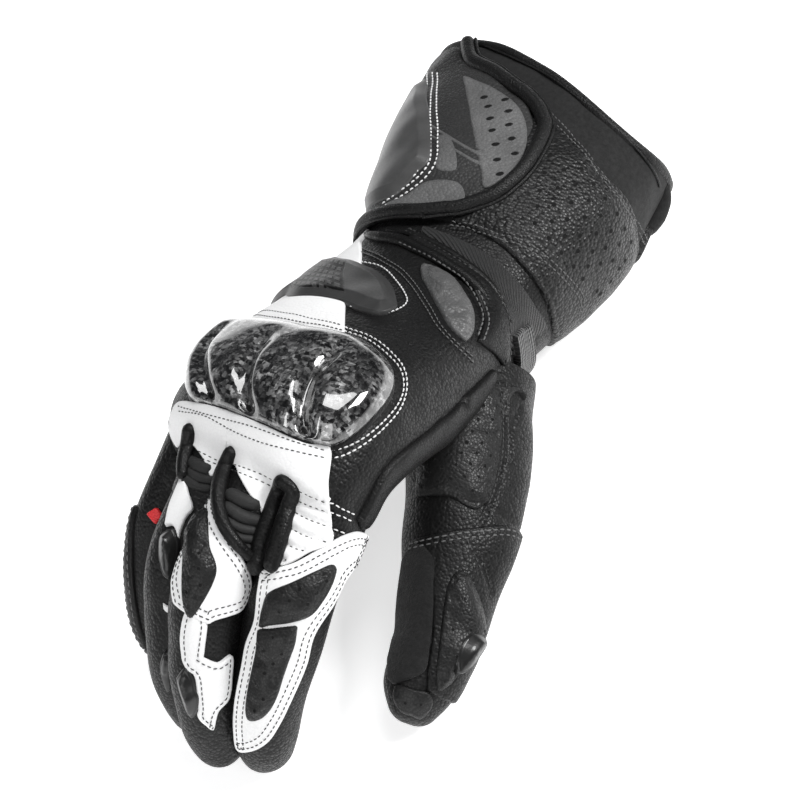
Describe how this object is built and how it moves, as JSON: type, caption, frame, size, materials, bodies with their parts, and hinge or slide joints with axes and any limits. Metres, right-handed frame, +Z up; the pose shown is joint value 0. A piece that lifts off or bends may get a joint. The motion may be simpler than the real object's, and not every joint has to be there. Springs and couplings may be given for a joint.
{
  "type": "motorcycle glove",
  "caption": "Long-cuff riding glove for the right hand, palm down, in black, white and grey leather with a flap-closed cuff, domed knuckle guard, padded fingers and hard sliders.",
  "frame": {"origin": "middle of the whole outline, on the surface that the glove lies on", "axes": "+Z up, +Y from the fingers to the cuff, +X towards the thumb; the back of the hand faces up"},
  "size_m": [0.133, 0.2892, 0.1002],
  "materials": {
    "black_leather": "pebbled black leather, semi matte",
    "white_leather": "smooth white leather, semi matte",
    "grey_leather": "dark grey leather, satin",
    "neoprene": "fine black neoprene, matte",
    "stretch_fabric": "black stretch textile with a fine twill",
    "suede": "black napped suede, very matte",
    "rubber_trim": "smooth black rubberised trim",
    "dark_plastic": "dark grey moulded plastic, satin",
    "carbon_shell": "glossy woven carbon look under clear lacquer",
    "red_tag": "small red fabric tag, matte"
  },
  "bodies": {
    "root": {"cuff_shell": "neoprene", "hand_shell": "black_leather", "index_finger": "black_leather", "index_fingertip": "black_leather", "middle_finger": "black_leather", "middle_fingertip": "black_leather", "ring_finger": "black_leather", "ring_fingertip": "black_leather", "little_finger": "black_leather", "little_fingertip": "black_leather", "thumb_base": "black_leather", "thumb_end": "black_leather", "cuff_binding": "rubber_trim", "cuff_flap": "grey_leather", "flap_piping": "rubber_trim", "cuff_guard": "dark_plastic", "perforated_panel": "black_leather", "twill_panel": "stretch_fabric", "wrist_strap": "black_leather", "crescent_band": "black_leather", "crescent_pad": "grey_leather", "cuff_tab": "rubber_trim", "white_upper_panel": "white_leather", "upper_guard": "dark_plastic", "knuckle_bezel": "black_leather", "knuckle_guard": "carbon_shell", "side_strip": "rubber_trim", "index_loop": "black_leather", "middle_loop": "black_leather", "ring_loop": "black_leather", "white_knuckle_panel": "white_leather", "index_gathers": "white_leather", "middle_gathers": "stretch_fabric", "ring_gathers": "stretch_fabric", "index_overlay": "white_leather", "index_upper_pad": "black_leather", "index_lower_pad": "black_leather", "middle_overlay": "white_leather", "middle_pad": "black_leather", "middle_lower_overlay": "white_leather", "middle_slider": "dark_plastic", "ring_overlay": "white_leather", "ring_knuckle_slider": "dark_plastic", "ring_tip_slider": "dark_plastic", "little_ridge": "black_leather", "red_tag": "red_tag", "thumb_gusset": "black_leather", "thumb_cap": "black_leather", "thumb_pad": "black_leather", "thumb_suede": "suede", "thumb_tip_patch": "black_leather", "thumb_slider": "dark_plastic"}
  },
  "joints": []
}
